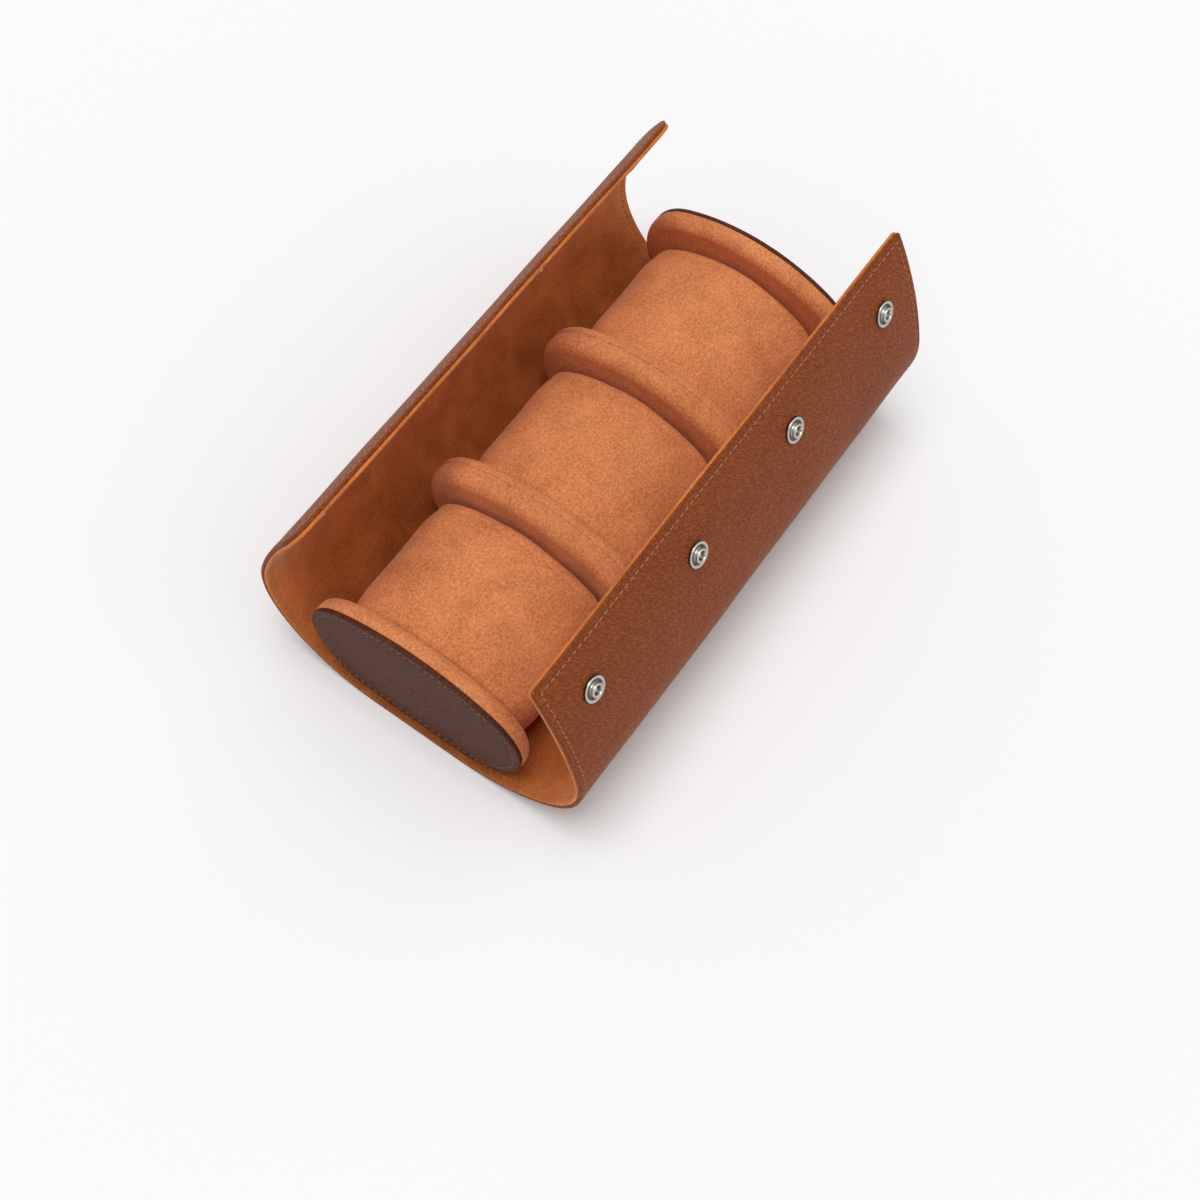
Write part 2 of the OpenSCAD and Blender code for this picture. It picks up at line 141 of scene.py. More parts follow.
def sun(name, turn, height, softness, power):
    """A sun that shines from the compass turn and height given, as wide as its softness, all in
    degrees. It points from (cos turn cos height, sin turn cos height, sin height) to the origin."""
    data = bpy.data.lights.new(name, "SUN")
    data.energy = power
    data.angle = math.radians(softness)
    made = bpy.data.objects.new(name, data)
    a, e = math.radians(turn), math.radians(height)
    towards = Vector((-math.cos(a) * math.cos(e), -math.sin(a) * math.cos(e), -math.sin(e)))
    made.rotation_euler = towards.to_track_quat("-Z", "Y").to_euler()
    scene.collection.objects.link(made)


sun("key", **KEY)
sun("fill", **FILL)


# Wrap: one boarded sheet, tan leather outside and orange suede inside, sewn together round the
# rim. It lies flat under the panels and curves up on both sides. Each side is made in three
# lengths, each holding one fold line of the frame.
WRAP_LENGTH = 245.0
WRAP_THICK = 3.0
MID = WRAP_THICK / 2
SEAM_GROOVE = 0.10
# The path of a side is a row of arcs with these lengths and turns in degrees. Its folds are
# measured along it.
FLAT_HALF = 19.5
FRONT = dict(side=-1, lengths=[FLAT_HALF, 53, 41.5, 58], turns=[0, 47.5, 57.5, 17], corner=2.0,
             folds=[36.5, 70.5, 121])
BACK = dict(side=1, lengths=[FLAT_HALF, 58, 29, 48.5], turns=[0, 66, 37.5, 19.5], corner=10.0,
            folds=[40.5, 74.5, 120.5])
STUD_EDGE, SOCKET_EDGE = 23.5, 15.0
WAVE_HIGH = 0.16
WAVE_START, WAVE_FULL = 40.0, 100.0
SNAP_CALM = 9.0
CRISP_EDGE = math.radians(40)
COLUMN_STEP, COLUMN_FINE = 3.0, 9.0
ROW_STEP, ROW_FINE, FREE_ROW_FINE = 1.4, 2.0, 5.0
CORNER_ROWS = 15
STITCH_ROW = 3.2
DIP_WIDE = 0.9


def path_end(flap):
    """Path length from the middle of the bottom to the free edge."""
    return float(sum(flap["lengths"]))


def section(flap, s):
    """Point (y, z) and heading of the lining at path length s: each piece of the path is an arc of
    its own length and turn, and starts where the last one ends with the same heading."""
    s = np.asarray(s, float)
    y, z, heading = np.zeros_like(s), np.full_like(s, WRAP_THICK), np.zeros_like(s)
    start, (y0, z0, a0) = 0.0, (0.0, WRAP_THICK, 0.0)
    for length, turn in zip(flap["lengths"], np.radians(flap["turns"])):
        here = s >= start - 1e-9
        run = np.where(here, s - start, 0.0)
        run_all = np.append(run.ravel(), length)
        angle = turn * run_all / length
        if turn:
            bend = length / turn
            dy = bend * (np.sin(a0 + angle) - math.sin(a0))
            dz = bend * (math.cos(a0) - np.cos(a0 + angle))
        else:
            dy, dz = run_all * math.cos(a0), run_all * math.sin(a0)
        y = np.where(here, y0 + dy[:-1].reshape(s.shape), y)
        z = np.where(here, z0 + dz[:-1].reshape(s.shape), z)
        heading = np.where(here, a0 + angle[:-1].reshape(s.shape), heading)
        start, y0, z0, a0 = start + length, y0 + dy[-1], z0 + dz[-1], a0 + turn
    return y, z, heading


def unevenness_of_sheet(flap, x, s):
    """How far the sheet stands out of its even curve: three crossing sine waves, none at the bottom
    or at a snap row, which grow from WAVE_START to WAVE_FULL along the path."""
    row = path_end(flap) - (STUD_EDGE if flap["side"] < 0 else SOCKET_EDGE)
    free = (np.clip((s - WAVE_START) / (WAVE_FULL - WAVE_START), 0, 1)
            * (1 - np.exp(-((s - row) / SNAP_CALM) ** 2)))
    wave = (np.sin(x / 31.0 + 0.6 * flap["side"]) * np.sin(s / 24.0 + 1.1)
            + 0.6 * np.sin(x / 17.0 + s / 40.0 + 2.0) + 0.4 * np.sin(x / 9.0 - s / 13.0))
    return WAVE_HIGH * free * wave


def on_wrap(flap, x, s, depth):
    """Point of the sheet at x, path length s and depth below the lining's face: the lining's point
    moved by the depth square to its heading."""
    y, z, heading = section(flap, s)
    out = depth + unevenness_of_sheet(flap, x, s)
    y = flap["side"] * (y + out * np.sin(heading))
    return np.stack([x + 0 * y, y, z - out * np.cos(heading)], axis=-1)


def put_mesh(name, points, faces, material, uv=None, sharp=CRISP_EDGE):
    """A mesh object from points in millimetres and a list of face index arrays; uv is one pair per
    point. Edges sharper than the angle stay crisp."""
    mesh = bpy.data.meshes.new(name)
    points = np.asarray(points, float).reshape(-1, 3) / 1000
    faces = [np.asarray(f, int) for f in faces if len(f)]
    count = sum(len(f) for f in faces)
    sides = np.concatenate([np.full(len(f), f.shape[1]) for f in faces])
    corners = np.concatenate([f.ravel() for f in faces])
    mesh.vertices.add(len(points))
    mesh.vertices.foreach_set("co", points.ravel())
    mesh.loops.add(len(corners))
    mesh.loops.foreach_set("vertex_index", corners)
    mesh.polygons.add(count)
    mesh.polygons.foreach_set("loop_start", np.concatenate([[0], np.cumsum(sides)[:-1]]))
    mesh.update(calc_edges=True)
    mesh.validate()
    if uv is not None:
        uv_map = mesh.uv_layers.new(name="UVMap")
        uv_map.data.foreach_set("uv", (np.asarray(uv, float)[corners] / 1000).ravel())
    mesh.polygons.foreach_set("use_smooth", np.ones(len(mesh.polygons), bool))
    mesh.set_sharp_from_angle(angle=sharp)
    mesh.materials.append(material)
    made = bpy.data.objects.new(name, mesh)
    scene.collection.objects.link(made)
    return made


def grid_faces(rows, columns, first=0, flip=False):
    """Quads of a grid of rows by columns points, numbered from first; flip turns them over."""
    a = (first + np.arange(rows - 1)[:, None] * columns + np.arange(columns - 1)[None, :]).ravel()
    quads = np.stack([a, a + 1, a + columns + 1, a + columns], axis=1)
    return quads[:, ::-1] if flip else quads


def rim_index(rows, columns):
    """Indices of a grid's border, once round."""
    index = np.arange(rows * columns).reshape(rows, columns)
    return np.concatenate([index[0, :-1], index[:-1, -1], index[-1, :0:-1], index[:0:-1, 0]])


def spread(low, high, step, fine_low=0.0, fine_high=0.0):
    """Places from low to high about step apart, and three times closer in the last few
    millimetres before an end that asks for it."""
    marks = [low]
    while marks[-1] < high - 1e-6:
        near = marks[-1] - low < fine_low or high - marks[-1] <= fine_high + step
        marks.append(marks[-1] + (step / 3 if near else step))
    marks = np.array(marks)
    return low + (marks - low) * (high - low) / (marks[-1] - low)


def sheet_grid(flap, s0, s1, inset, free):
    """x and s of every point of one length of the sheet, with its free sides drawn in by inset.
    The last rows follow the round corners of the free edge."""
    wide = WRAP_LENGTH / 2
    columns = spread(-1.0, 1.0, COLUMN_STEP / wide, COLUMN_FINE / wide, COLUMN_FINE / wide)
    wide -= inset
    if free:
        radius = flap["corner"] - inset
        lean = np.radians(np.linspace(0, 90, CORNER_ROWS))
        straight = spread(s0, s1 - flap["corner"], ROW_STEP, 0, FREE_ROW_FINE)[:-1]
        s = np.concatenate([straight, s1 - inset - radius + radius * np.sin(lean)])
        width = np.concatenate([np.full(len(straight), wide), wide - radius * (1 - np.cos(lean))])
    else:
        s = spread(s0, s1, ROW_STEP, ROW_FINE, ROW_FINE)
        width = np.full(len(s), wide)
    return width[:, None] * columns[None, :], np.repeat(s[:, None], len(columns), axis=1)


def stitch_dip(flap, x, s, deep):
    """Depth of the line that the stitches pull into the face: a bell curve of the distance from
    their row, which runs STITCH_ROW inside the rim and its round corners."""
    to_end, to_edge = WRAP_LENGTH / 2 - np.abs(x), path_end(flap) - s
    radius = flap["corner"]
    inside = np.where((to_end < radius) & (to_edge < radius),
                      radius - np.hypot(radius - to_end, radius - to_edge),
                      np.minimum(to_end, to_edge))
    return deep * np.exp(-((inside - STITCH_ROW) / DIP_WIDE) ** 2)


def layer(name, flap, s0, s1, depth0, depth1, rounding, material, free, dip):
    """One length of one layer of the sheet: two faces and a rounded rim, closed all round. The
    rim's profile is a quarter circle at each face, with the radius given by rounding."""
    lean = np.radians([0, 30, 60, 90])
    rings = ([(rounding * (1 - math.sin(a)), depth1 - rounding * (1 - math.cos(a))) for a in lean]
             + [(rounding * (1 - math.cos(a)), depth0 + rounding * (1 - math.sin(a)))
                for a in lean])
    x, s = sheet_grid(flap, s0, s1, rounding, free)
    rows, columns = x.shape
    sunk = stitch_dip(flap, x, s, dip)
    points = [on_wrap(flap, x, s, depth).reshape(-1, 3) for depth in (depth1 - sunk, depth0 + sunk)]
    uv = [np.stack([x, s], -1).reshape(-1, 2)] * 2
    mirrored = flap["side"] > 0
    faces = [grid_faces(rows, columns, 0, mirrored),
             grid_faces(rows, columns, rows * columns, not mirrored)]
    rim = rim_index(rows, columns)
    loops = [rim]
    start = 2 * rows * columns
    for inset, depth in rings[1:-1]:
        xr, sr = sheet_grid(flap, s0, s1, inset, free)
        xr, sr = xr.ravel()[rim], sr.ravel()[rim]
        points.append(on_wrap(flap, xr, sr, depth))
        uv.append(np.stack([xr, sr + depth], -1))
        loops.append(start + np.arange(len(rim)))
        start += len(rim)
    loops.append(rim + rows * columns)
    for upper, lower in zip(loops[:-1], loops[1:]):
        quads = np.stack([upper, np.roll(upper, -1), np.roll(lower, -1), lower], axis=1)
        faces.append(quads if mirrored else quads[:, ::-1])
    return put_mesh(name, np.concatenate(points), faces, material, np.concatenate(uv))


def mix_colour(add, factor, low, high):
    """A colour between low and high by factor. The Mix node's colour sockets have no names of
    their own: they are its inputs 6 and 7 and its output 2."""
    mixed = add("ShaderNodeMix", data_type="RGBA")
    mixed.inputs[6].default_value = (*low, 1)
    mixed.inputs[7].default_value = (*high, 1)
    mixed.id_data.links.new(factor, mixed.inputs[0])
    return mixed.outputs[2]


RIDGES = ((-40, 0.65, 3.0), (48, 0.65, 2.0))
RIDGE_LOW, RIDGE_HIGH = 0.38, 0.62
GRAIN_DEEP = 0.0003


def leather(name, low, high, roughness, shine, mapped=True):
    """Cross-hatched leather: short wavy ridges pressed aslant into a coated hide about a
    millimetre apart, crossed by a fainter set, with soft clouds and worn, lighter ridges. RIDGES
    holds the slant, width and length of each set. The pattern follows the piece's map, or where
    mapped is False the plane of an upright face."""
    made = bpy.data.materials.new(name)
    tree, add = node_tree(made)
    place = (add("ShaderNodeUVMap", uv_map="UVMap").outputs[0] if mapped
             else add("ShaderNodeTexCoord").outputs["Object"])
    heights = []
    for slant, across, along in RIDGES:
        turned = add("ShaderNodeMapping", {
            "Vector": place, "Rotation": (0, 0, math.radians(slant)) if mapped
            else (math.radians(slant), 0, 0),
            "Scale": (1000, 1000, 1000)})
        longer = add("ShaderNodeMapping", {
            "Vector": turned.outputs[0], "Scale": (1 / across, 1 / along, 1) if mapped
            else (0, 1 / across, 1 / along)})
        ridges = add("ShaderNodeTexNoise", {"Vector": longer.outputs[0], "Scale": 1.0,
                                            "Detail": 1.0, "Roughness": 0.4,
                                            "Distortion": 0.35})
        heights.append(add("ShaderNodeMapRange", {"Value": ridges.outputs["Fac"],
                                                  "From Min": RIDGE_LOW,
                                                  "From Max": RIDGE_HIGH},
                           interpolation_type="SMOOTHSTEP").outputs[0])
    height = add("ShaderNodeMath", {0: heights[1], 1: 0.45, 2: heights[0]},
                 operation="MULTIPLY_ADD")
    cloud = add("ShaderNodeTexNoise", {"Vector": place, "Scale": 30, "Detail": 4})
    tint = add("ShaderNodeMath", {0: cloud.outputs["Fac"], 1: 0.43}, operation="MULTIPLY")
    ridge = add("ShaderNodeMath", {0: height.outputs[0], 1: 0.40, 2: tint.outputs[0]},
                operation="MULTIPLY_ADD", use_clamp=True)
    colour = mix_colour(add, ridge.outputs[0], low, high)
    bump = add("ShaderNodeBump", {"Height": height.outputs[0], "Strength": 1.0,
                                  "Distance": GRAIN_DEEP})
    shader = add("ShaderNodeBsdfPrincipled", {"Base Color": colour, "Roughness": roughness,
                                              "Specular IOR Level": shine,
                                              "Normal": bump.outputs[0]})
    add("ShaderNodeOutputMaterial", {"Surface": shader.outputs[0]})
    return made


NAP_DEEP = 0.0003
# The lining is painted darker towards the bottom of the wrap, as shade: darkest below the first
# place, full colour above the second, in metres along the path.
PAINTED_SHADE_BELOW, PAINTED_SHADE_ENDS_ABOVE = 0.025, 0.085


def suede(name, low, high, from_object, cloudy, shade=1.0):
    """Suede: a short matt nap. Fine fibre specks, slow clouds where the nap lies another way, and
    a faint sheen. shade is how much of its colour is left at the bottom of the wrap, where it is
    painted darker as shade; the colour comes back between two places along the path, in metres."""
    made = bpy.data.materials.new(name)
    tree, add = node_tree(made)
    place = (add("ShaderNodeTexCoord").outputs["Object"] if from_object
             else add("ShaderNodeUVMap", uv_map="UVMap").outputs[0])
    specks = add("ShaderNodeTexNoise", {"Vector": place, "Scale": 1000, "Detail": 4,
                                        "Roughness": 0.75})
    clouds = add("ShaderNodeTexNoise", {"Vector": place, "Scale": 55, "Detail": 3,
                                        "Distortion": 0.8})
    lying = add("ShaderNodeMath", {0: clouds.outputs["Fac"], 1: cloudy, 2: 0.5 - cloudy / 2},
                operation="MULTIPLY_ADD")
    both = add("ShaderNodeMath", {0: specks.outputs["Fac"], 1: lying.outputs[0]},
               operation="ADD")
    factor = add("ShaderNodeMapRange", {"Value": both.outputs[0], "From Min": 0.80,
                                        "From Max": 1.20})
    colour = mix_colour(add, factor.outputs[0], low, high)
    if shade < 1:
        # Painted shade: the colour is scaled down towards the bottom of the wrap.
        up = add("ShaderNodeSeparateXYZ", {"Vector": place})
        left = add("ShaderNodeMapRange", {"Value": up.outputs["Y"], "From Min": PAINTED_SHADE_BELOW,
                                          "From Max": PAINTED_SHADE_ENDS_ABOVE, "To Min": shade,
                                          "To Max": 1.0})
        scaled = add("ShaderNodeVectorMath", {0: colour, "Scale": left.outputs[0]},
                     operation="SCALE")
        colour = scaled.outputs[0]
    bump = add("ShaderNodeBump", {"Height": specks.outputs["Fac"], "Strength": 0.6,
                                  "Distance": NAP_DEEP})
    shader = add("ShaderNodeBsdfPrincipled", {"Base Color": colour, "Roughness": 0.95,
                                              "Specular IOR Level": 0.15, "Sheen Weight": 0.35,
                                              "Sheen Roughness": 0.5,
                                              "Sheen Tint": (0.95, 0.62, 0.42, 1),
                                              "Normal": bump.outputs[0]})
    add("ShaderNodeOutputMaterial", {"Surface": shader.outputs[0]})
    return made


tan_leather = leather("tan_leather", (0.165, 0.032, 0.006), (0.405, 0.100, 0.026), 0.48, 0.08)
# The lining is darker and redder than the cushions' suede: partly its own darker tone, partly
# painted shade and bounce light of the inside of the wrap. Its bottom is painted darker still, as
# shade.
wrap_suede = suede("wrap_suede", (0.42, 0.108, 0.020), (0.84, 0.250, 0.062), False, 0.6, 0.5)


def wrap_lengths(flap):
    """The three lengths of one side, as (name, s0, s1, free, body at its start, body at its end,
    fold line)."""
    side = "front" if flap["side"] < 0 else "back"
    low, mid, high = flap["folds"]
    cuts = [0, (low + mid) / 2, (mid + high) / 2, path_end(flap)]
    names = ["low", "middle", "flap"]
    bodies = ["base", side + "_side", side + "_shoulder", side + "_flap"]
    return [(f"{side}_{names[i]}", cuts[i], cuts[i + 1], i == 2, bodies[i], bodies[i + 1],
             flap["folds"][i]) for i in range(3)]


def bend_piece(piece):
    """Bakes the piece's place into its mesh. The piece is not tied to a body or bent at its fold
    line."""
    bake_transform(piece)


for flap in (FRONT, BACK):
    for name, s0, s1, free, one, other, fold in wrap_lengths(flap):
        nodes = [other + "_"]
        if one == "base":
            nodes.append("base_")
        outside = layer("leather_" + name, flap, s0, s1, MID + SEAM_GROOVE / 2, WRAP_THICK, 0.45,
                        tan_leather, free, 0.22)
        inside = layer("lining_" + name, flap, s0, s1, 0.0, MID - SEAM_GROOVE / 2, 0.5,
                       wrap_suede, free, 0.3)
        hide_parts(*[n + "leather" for n in nodes])
        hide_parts(*[n + part for n in nodes for part in ("lining", "board")])
        bend_piece(outside)
        bend_piece(inside)


# Stitches of the wrap: one row of tan thread round the rim, through both layers, so that it shows
# on the leather and on the lining. Each stitch pulls a little into the face at its two ends.
STITCH_LONG, STITCH_PITCH = 2.4, 3.2
STITCH_SLANT, SLANT_SPREAD = math.radians(5), 0.03
LENGTH_SPREAD = 0.04
STITCH_PROUD, END_SINK = 0.10, 0.36
THREAD_R, THREAD_FLAT = 0.23, 1.15
TUBE_SIDES, TUBE_RINGS = 6, 7


def thread(name, colour):
    """Matt spun thread: fine specks of a darker shade stand for its twist."""
    made = bpy.data.materials.new(name)
    tree, add = node_tree(made)
    place = add("ShaderNodeTexCoord").outputs["Object"]
    twist = add("ShaderNodeTexNoise", {"Vector": place, "Scale": 2600, "Detail": 2})
    shade = mix_colour(add, twist.outputs["Fac"], tuple(0.7 * c for c in colour), colour)
    bump = add("ShaderNodeBump", {"Height": twist.outputs["Fac"], "Strength": 0.4,
                                  "Distance": 0.0001})
    shader = add("ShaderNodeBsdfPrincipled", {"Base Color": shade, "Roughness": 0.7,
                                              "Normal": bump.outputs[0]})
    add("ShaderNodeOutputMaterial", {"Surface": shader.outputs[0]})
    return made


def unit(vectors):
    """The vectors, each divided by its own length."""
    return vectors / np.linalg.norm(vectors, axis=-1, keepdims=True)


def sew(name, centre, ahead, outward, material):
    """One small tube per stitch, from arrays of its middle, its direction and the face's normal.
    Its middle stands proud of the face; towards its ends it thins and sinks with the fourth power
    of the way from its middle. Lengths and slants differ a little from stitch to stitch."""
    count = len(centre)
    random = np.random.default_rng(count)
    ahead, outward = unit(ahead), unit(outward)
    aside = np.cross(outward, ahead)
    slant = STITCH_SLANT + random.normal(0, SLANT_SPREAD, count)
    ahead, aside = (ahead * np.cos(slant)[:, None] + aside * np.sin(slant)[:, None],
                    aside * np.cos(slant)[:, None] - ahead * np.sin(slant)[:, None])
    along = np.linspace(-1, 1, TUBE_RINGS)
    turn = np.radians(np.arange(TUBE_SIDES) * 360 / TUBE_SIDES)
    half = STITCH_LONG / 2 * (1 + random.normal(0, LENGTH_SPREAD, count))
    half = half[:, None, None, None]
    girth = THREAD_R * np.sqrt(np.clip(1 - along ** 4, 0.08, 1))
    rise = STITCH_PROUD - END_SINK * along ** 4
    points = (centre[:, None, None, :] + half * along[None, :, None, None] * ahead[:, None, None, :]
              + (THREAD_FLAT * girth[:, None] * np.cos(turn))[None, :, :, None]
              * aside[:, None, None, :]
              + (girth[:, None] * np.sin(turn) + rise[:, None])[None, :, :, None]
              * outward[:, None, None, :])
    per = TUBE_RINGS * TUBE_SIDES
    base = np.arange(count)[:, None, None] * per
    ring = np.arange(TUBE_RINGS - 1)[None, :, None] * TUBE_SIDES
    spot, after = np.arange(TUBE_SIDES), (np.arange(TUBE_SIDES) + 1) % TUBE_SIDES
    a, b = base + ring + spot, base + ring + after
    quads = np.stack([a, a + TUBE_SIDES, b + TUBE_SIDES, b], axis=-1).reshape(-1, 4)
    caps = np.concatenate([base[:, 0] + spot, base[:, 0] + per - TUBE_SIDES + spot[::-1]])
    return put_mesh(name, points, [quads[:, ::-1], caps[:, ::-1]], material)


def rim_run(flap):
    """Centres (x, s) of the stitches of one side and places just ahead of them: up one end of the
    wrap, along the free edge and down the other end, with the corners rounded."""
    end, wide = path_end(flap) - STITCH_ROW, WRAP_LENGTH / 2 - STITCH_ROW
    radius = max(flap["corner"] - STITCH_ROW, 1.0)
    lean = np.radians(np.linspace(0, 90, 12))
    up_x = np.concatenate([[wide], wide - radius * (1 - np.cos(lean))])
    up_s = np.concatenate([[0.0], end - radius + radius * np.sin(lean)])
    x, s = np.concatenate([up_x, -up_x[::-1]]), np.concatenate([up_s, up_s[::-1]])
    run = np.concatenate([[0], np.cumsum(np.hypot(np.diff(x), np.diff(s)))])
    count = int(run[-1] / STITCH_PITCH)
    centre = (np.arange(count) + 0.5) * run[-1] / count
    return [np.interp(centre + step, run, values) for step in (0, 0.5) for values in (x, s)]


tan_thread = thread("tan_thread", (0.50, 0.215, 0.11))
for flap in (FRONT, BACK):
    x, s, x_next, s_next = rim_run(flap)
    heading = section(flap, s)[2]
    outward = np.stack([0 * x, flap["side"] * np.sin(heading), -np.cos(heading)], axis=-1)
    for name, s0, s1, free, one, other, fold in wrap_lengths(flap):
        mine = (s >= s0) & (s < s1 + (1 if free else 0))
        for face, depth, way in (("outside", WRAP_THICK - 0.14, 1), ("inside", 0.2, -1)):
            middle = on_wrap(flap, x, s, depth)
            towards = on_wrap(flap, x_next, s_next, depth) - middle
            row = sew(f"stitches_{name}_{face}", middle[mine], towards[mine],
                      way * outward[mine], tan_thread)
            bend_piece(row)


# Cushions: every panel, divider and pillow is a sewn cover of suede over foam. Its form is a stack
# of outlines, and its fabric is blown up as cloth, so that it swells between its seams.
OUTLINE_STEPS = 40
SWELL_PRESSURE = 4
SWELL_FRAMES = 20
SWELL_VOXEL = 0.005
FOLLOW_REACH = 3.0
AT_A_TIME = 400
GATHER_DEEP, GATHER_WIDE = 0.28, 2.2
GATHER_RADIUS = 45.0
CALM_RADIUS = 20.0


def outline(size, z0, inset):
    """Outline of an upright cushion, once round: a flat bottom, low and high side arcs and a top
    arc that are tangent to each other, all drawn in by inset. size is half the width, the height
    and the radii of the low and high arcs."""
    half_w, height, low_r, high_r = size
    mid = z0 + height / 2
    drop = ((half_w - high_r) ** 2 - (height / 2 - high_r) ** 2) / (height - 2 * high_r)
    lean = math.atan2(half_w - high_r, drop)
    inset = np.asarray(inset, float)[..., None]

    def arc(cy, cz, radius, a0, a1, n, last):
        a = np.linspace(a0, a1, n, endpoint=last)
        return cy + (radius - inset) * np.cos(a), cz + (radius - inset) * np.sin(a)

    flat = np.linspace(0, 1, 10, endpoint=False)
    parts = [((half_w - low_r) * flat + 0 * inset, z0 + inset + 0 * flat),
             arc(half_w - low_r, z0 + low_r, low_r, -math.pi / 2, 0, OUTLINE_STEPS, False),
             arc(half_w - high_r, mid, high_r, 0, math.pi / 2 - lean, OUTLINE_STEPS * 2 // 3,
                 False),
             arc(0, mid - drop, height / 2 + drop, math.pi / 2 - lean, math.pi / 2, OUTLINE_STEPS,
                 True)]
    y = np.concatenate([p[0] for p in parts], axis=-1)
    z = np.concatenate([p[1] for p in parts], axis=-1)
    return (np.concatenate([y, -y[..., -2:0:-1]], axis=-1),
            np.concatenate([z, z[..., -2:0:-1]], axis=-1))


def form(size, z0, profile, step=0.7):
    """Points and faces of a closed form: its outline at every place of the profile, a list of
    (x, inset, share of full size), which is followed in even steps and closed by two poles. A
    change of share counts as a way of that part of 0.6 times the height."""
    key = np.array(profile, float)
    run = np.hypot(np.diff(key[:, 0]), np.diff(key[:, 1]) + size[1] * 0.6 * np.diff(key[:, 2]))
    run = np.concatenate([[0], np.cumsum(run)])
    along = np.unique(np.concatenate([run, np.arange(0, run[-1], step)]))
    along = along[np.concatenate([[True], np.diff(along) > 0.05])]
    x, inset, share = (np.interp(along, run, key[:, i]) for i in range(3))
    y, z = outline(size, z0, inset)
    mid = z0 + size[1] / 2
    points = np.stack([x[:, None] + 0 * y, y * share[:, None],
                       mid + (z - mid) * share[:, None]], axis=-1)
    rings, around = y.shape
    poles = points[[0, -1]].mean(axis=1)
    spot, after = np.arange(around), (np.arange(around) + 1) % around
    ring = np.arange(rings - 1)[:, None] * around
    quads = np.stack([ring + spot, ring + around + spot, ring + around + after, ring + after],
                     axis=-1).reshape(-1, 4)
    caps = np.concatenate([np.stack([0 * spot + rings * around, spot, after], axis=1),
                           np.stack([0 * spot + rings * around + 1,
                                     (rings - 1) * around + after,
                                     (rings - 1) * around + spot], axis=1)])
    if x[-1] > x[0]:
        quads, caps = quads[:, ::-1], caps[:, ::-1]
    return np.concatenate([points.reshape(-1, 3), poles]), [quads, caps]


def even_fabric(owner):
    """Start places and swollen places, in millimetres, of an even copy of the piece whose fabric
    is blown up as cloth without gravity."""
    even = owner.copy()
    even.data = owner.data.copy()
    scene.collection.objects.link(even)
    remesh = even.modifiers.new("even", "REMESH")
    remesh.mode = "VOXEL"
    remesh.voxel_size = SWELL_VOXEL
    view = bpy.context.evaluated_depsgraph_get()
    plain = bpy.data.meshes.new_from_object(even.evaluated_get(view))
    even.modifiers.clear()
    even.data = plain
    start = np.empty(len(plain.vertices) * 3)
    plain.vertices.foreach_get("co", start)
    cloth = even.modifiers.new("cloth", "CLOTH").settings
    cloth.use_pressure = True
    cloth.uniform_pressure_force = SWELL_PRESSURE
    cloth.effector_weights.gravity = 0
    for frame_number in range(1, SWELL_FRAMES + 1):
        scene.frame_set(frame_number)
    view = bpy.context.evaluated_depsgraph_get()
    swollen = even.evaluated_get(view).to_mesh()
    end = np.empty(len(swollen.vertices) * 3)
    swollen.vertices.foreach_get("co", end)
    even.evaluated_get(view).to_mesh_clear()
    bpy.data.objects.remove(even)
    scene.frame_set(1)
    return start.reshape(-1, 3) * 1000, end.reshape(-1, 3) * 1000


def swell_of(points, faces, cap_x, cap_out):
    """Start places and movements of the fabric of a form. The movements are made smaller in
    proportion until none is more than cap_x along x or cap_out across it."""
    trial = put_mesh("trial", points, faces, cushion_suede)
    start, end = even_fabric(trial)
    bpy.data.objects.remove(trial)
    moved = end - start
    moved -= moved.mean(axis=0)
    moved[:, 0] *= min(1.0, cap_x / np.abs(moved[:, 0]).max())
    moved[:, 1:] *= min(1.0, cap_out / np.linalg.norm(moved[:, 1:], axis=1).max())
    return start, moved


def follow(points, swell):
    """The points moved with the fabric: each takes the mean movement of the start places round it,
    weighted by a bell curve of their distance. A tiny weight that falls more slowly serves points
    far from all of them."""
    if swell is None:
        return points
    start, moved = swell
    out = np.array(points, float)
    for first in range(0, len(points), AT_A_TIME):
        some = slice(first, first + AT_A_TIME)
        apart = ((points[some, None, :] - start[None, :, :]) ** 2).sum(axis=2)
        near = np.exp(-apart / (2 * FOLLOW_REACH ** 2)) + 1e-9 / (1 + apart)
        out[some] += near @ moved / near.sum(axis=1, keepdims=True)
    return out


def unevenness(points, deep):
    """Slow dents of hand-filled padding, deep millimetres at the most, from crossing waves."""
    x, y, z = points.T
    wave = (np.sin(x / 7.3 + y / 11.0 + 1.3) * np.sin(z / 8.7 - y / 15.0)
            + 0.7 * np.sin(y / 5.9 + z / 9.1 + x / 13.0 + 0.4) + 0.4 * np.sin(y / 3.1 - z / 3.7))
    return deep * wave / 2.1


def puckers(points, seam_x):
    """How far a seam pulls the cover in: small gathers along the seam, from two crossing waves of
    the way round it, which fade away from it as a bell curve."""
    x, y, z = points.T
    around = np.arctan2(z - z.mean(), y) * GATHER_RADIUS
    gather = (0.5 + 0.5 * np.sin(around / 1.05) * np.sin(around / 4.3 + 1.0)) * GATHER_DEEP
    return gather * np.exp(-((x - seam_x) / GATHER_WIDE) ** 2)


